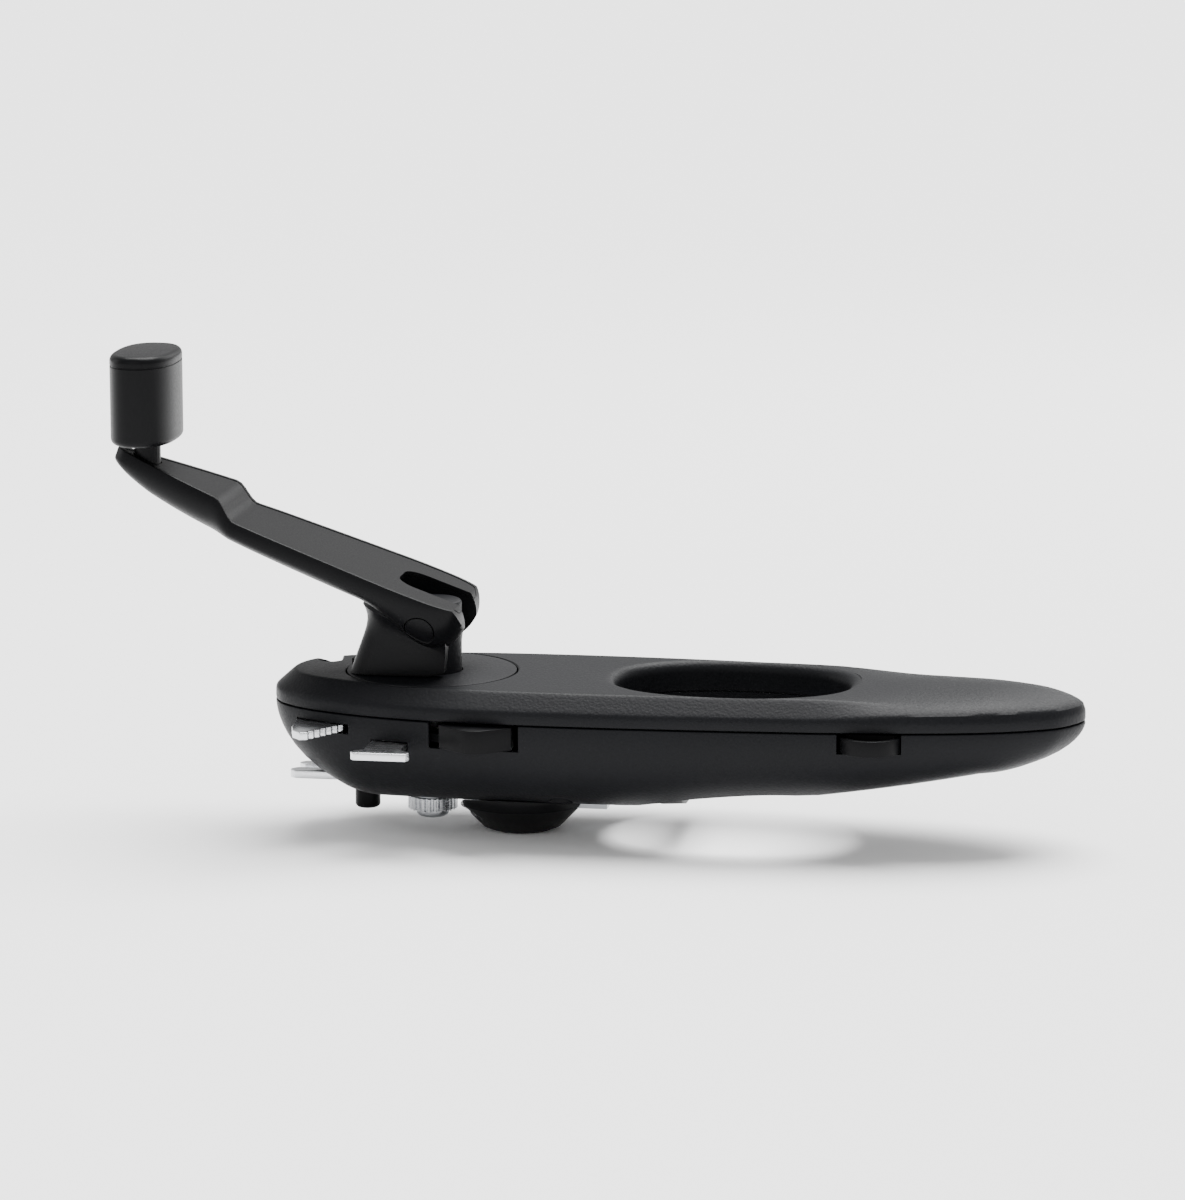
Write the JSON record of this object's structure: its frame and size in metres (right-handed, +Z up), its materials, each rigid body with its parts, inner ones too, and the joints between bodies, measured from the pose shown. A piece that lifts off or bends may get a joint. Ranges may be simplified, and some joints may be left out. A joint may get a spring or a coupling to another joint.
{
  "type": "manual can opener",
  "caption": "Hand-held can opener with a folding crank on top, a cutter under the hull, lifting blades at the side and a finger opening in the handle.",
  "frame": {"origin": "centre of the flat underside of the cutter housing, on which the opener stands", "axes": "+Z up, +X towards the end of the handle, -Y towards the side with the lifting blades"},
  "size_m": [0.2464, 0.0671, 0.1198],
  "materials": {
    "grained_black": "matte",
    "satin_black": "satin",
    "soft_grip": "matte",
    "stainless": "brushed",
    "plain_steel": "satin",
    "spring_steel": "satin",
    "acetal": "satin"
  },
  "bodies": {
    "body": {"top_cover": "grained_black", "base_housing": "grained_black", "case_screw_1": "plain_steel", "case_screw_2": "plain_steel", "case_screw_3": "plain_steel", "case_screw_4": "plain_steel", "cap_grip_bar": "satin_black", "lid_lifter_plate": "stainless", "cap_lifter": "stainless", "fixed_jaw": "stainless", "jaw_pivot_pin": "plain_steel", "jaw_spring": "spring_steel", "button_spring": "spring_steel", "guide_foot": "satin_black", "cutter_housing": "satin_black", "carrier_spring": "spring_steel", "upper_bush": "acetal", "lower_bush": "acetal"},
    "crank": {"turntable": "grained_black", "crank_post": "grained_black", "hinge_pin": "satin_black", "drive_shaft": "plain_steel", "feed_wheel": "stainless", "feed_washer": "plain_steel", "feed_wheel_screw": "plain_steel"},
    "arm": {"crank_arm": "satin_black", "arm_back_plate": "satin_black", "arm_grip_panel": "soft_grip", "pin_cap": "satin_black", "knob_stud": "satin_black"},
    "knob": {"knob": "satin_black"},
    "carrier": {"cutter_carrier": "plain_steel", "cutter_stud": "plain_steel"},
    "cutter": {"cutter_wheel": "stainless"},
    "jaw": {"moving_jaw": "stainless", "jaw_lever": "satin_black"},
    "button": {"side_button": "satin_black"}
  },
  "joints": [
    {"name": "crank_turn", "type": "hinge", "parent": "body", "child": "crank", "pos_m": [-0.023, 0, 0.04], "axis": [0, 0, 1], "range_deg": [-180, 360]},
    {"name": "arm_fold", "type": "hinge", "parent": "crank", "child": "arm", "pos_m": [-0.023, 0, 0.053], "axis": [0, 1, 0], "range_deg": [0, 165]},
    {"name": "knob_spin", "type": "hinge", "parent": "arm", "child": "knob", "pos_m": [-0.09595, 0, 0.0923], "axis": [0, 0, 1], "continuous": true},
    {"name": "cutter_slide", "type": "slide", "parent": "body", "child": "carrier", "axis": [1, 0, 0], "range_m": [0, 0.002], "stiffness_N_per_m": 3000, "springref_m": -0.0005, "deforming": ["carrier_spring"]},
    {"name": "cutter_spin", "type": "hinge", "parent": "carrier", "child": "cutter", "pos_m": [-0.0067, 0, 0.005], "axis": [0, 0, 1], "range_deg": [-253, 127]},
    {"name": "jaw_close", "type": "hinge", "parent": "body", "child": "jaw", "pos_m": [-0.026, -0.015, 0.025], "axis": [0, 0, 1], "range_deg": [0, 6], "stiffness_Nm_per_rad": 0.5, "springref_deg": -2.86, "deforming": ["jaw_spring"]},
    {"name": "button_press", "type": "slide", "parent": "body", "child": "button", "axis": [0, 1, 0], "range_m": [0, 0.003], "stiffness_N_per_m": 400, "springref_m": -0.0005, "deforming": ["button_spring"]}
  ],
  "couplings": [
    {"joint": "cutter_spin", "follows": "crank_turn", "ratio": -0.7}
  ]
}
